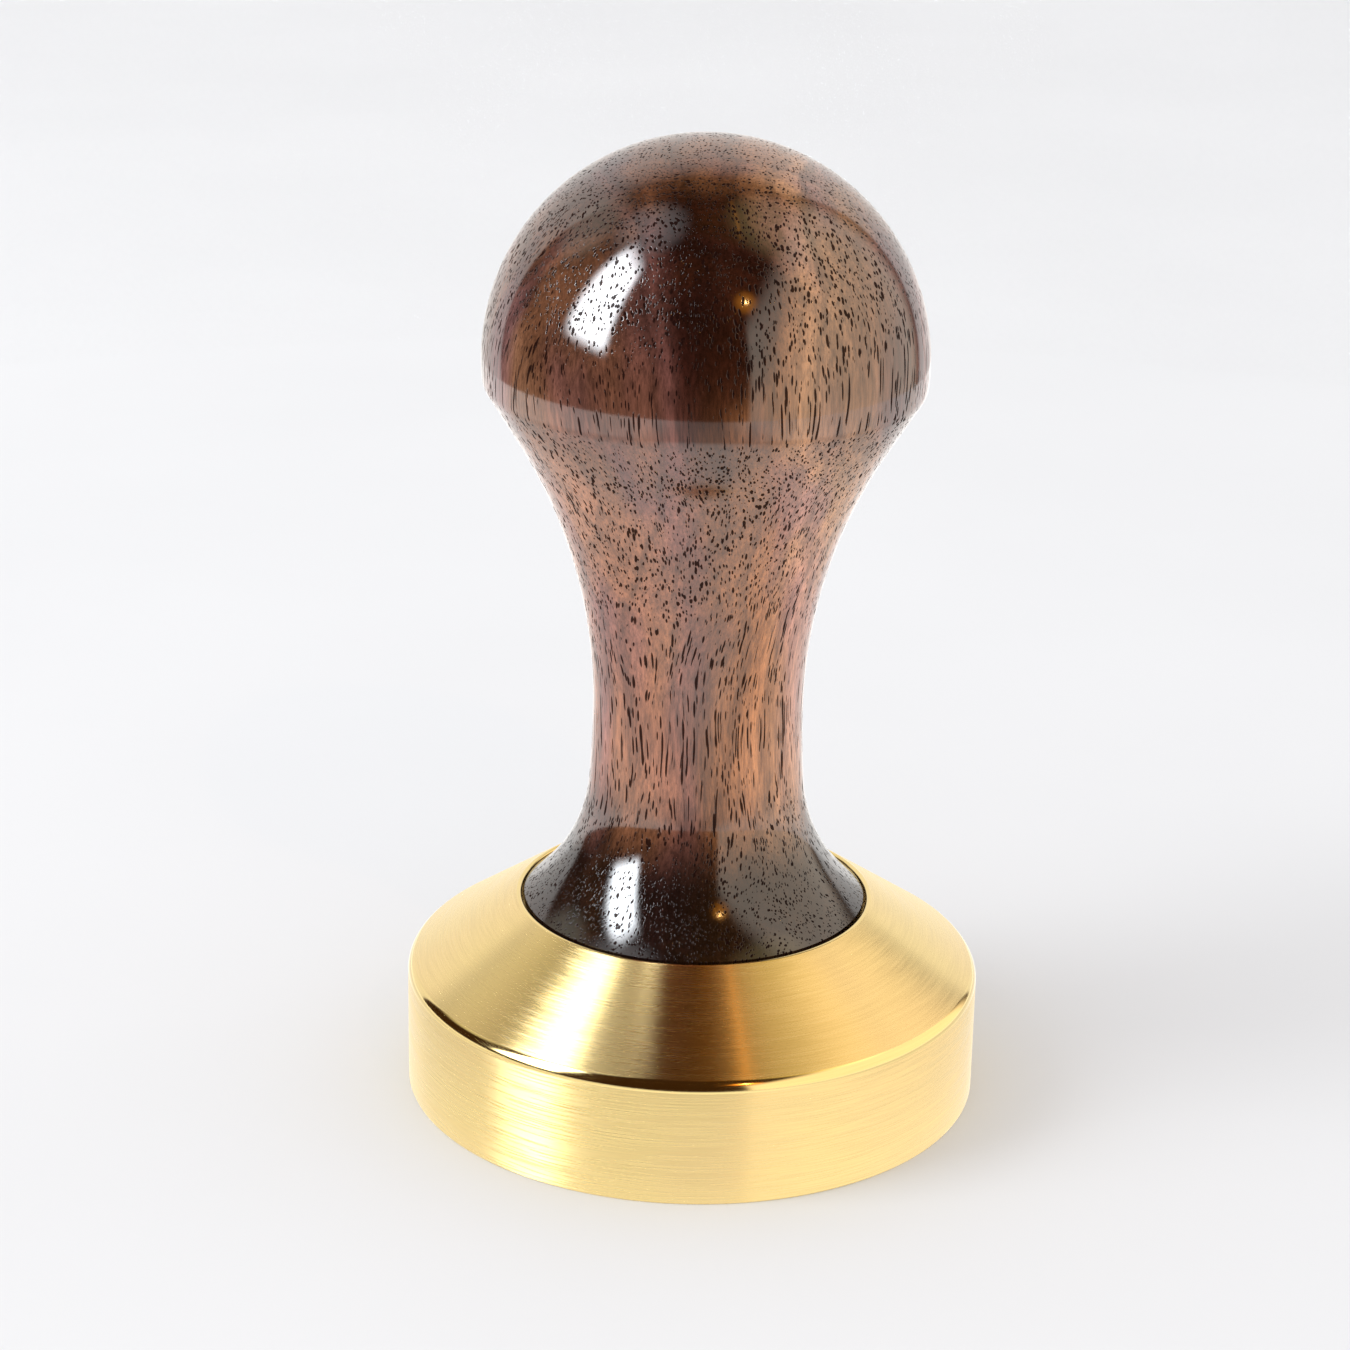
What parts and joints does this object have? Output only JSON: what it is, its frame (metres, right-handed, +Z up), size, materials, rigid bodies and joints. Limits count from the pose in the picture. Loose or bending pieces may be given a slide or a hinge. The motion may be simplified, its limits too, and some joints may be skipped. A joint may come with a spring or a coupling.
{
  "type": "espresso tamper",
  "caption": "Espresso tamper with a flat round brass piston and a turned walnut ball handle that unscrews from it on a threaded stud.",
  "frame": {"origin": "centre of the flat tamping face on the underside of the base", "axes": "+Z up along the axis that every piece is turned about, from the tamping face to the top of the ball"},
  "size_m": [0.058, 0.058, 0.0976],
  "materials": {
    "brushed_brass": "fine circumferential brushing, satin, with a polished rim",
    "walnut": "turned, oiled and polished, with open pores",
    "stud_steel": "plain steel set screw",
    "washer_steel": "bright flat shim steel",
    "insert_brass": "as machined"
  },
  "bodies": {
    "base": {"base": "brushed_brass", "stud": "stud_steel"},
    "washer": {"washer": "washer_steel"},
    "handle": {"handle": "walnut", "threaded_insert": "insert_brass"}
  },
  "joints": [
    {"name": "handle_turn", "type": "hinge", "parent": "base", "child": "washer", "pos_m": [0, 0, 0.018], "axis": [0, 0, 1], "range_deg": [0, 2880]},
    {"name": "handle_lift", "type": "slide", "parent": "washer", "child": "handle", "axis": [0, 0, 1], "range_m": [0, 0.01]}
  ],
  "couplings": [
    {"joint": "handle_lift", "follows": "handle_turn", "m_per_rad": 0.00019894}
  ]
}
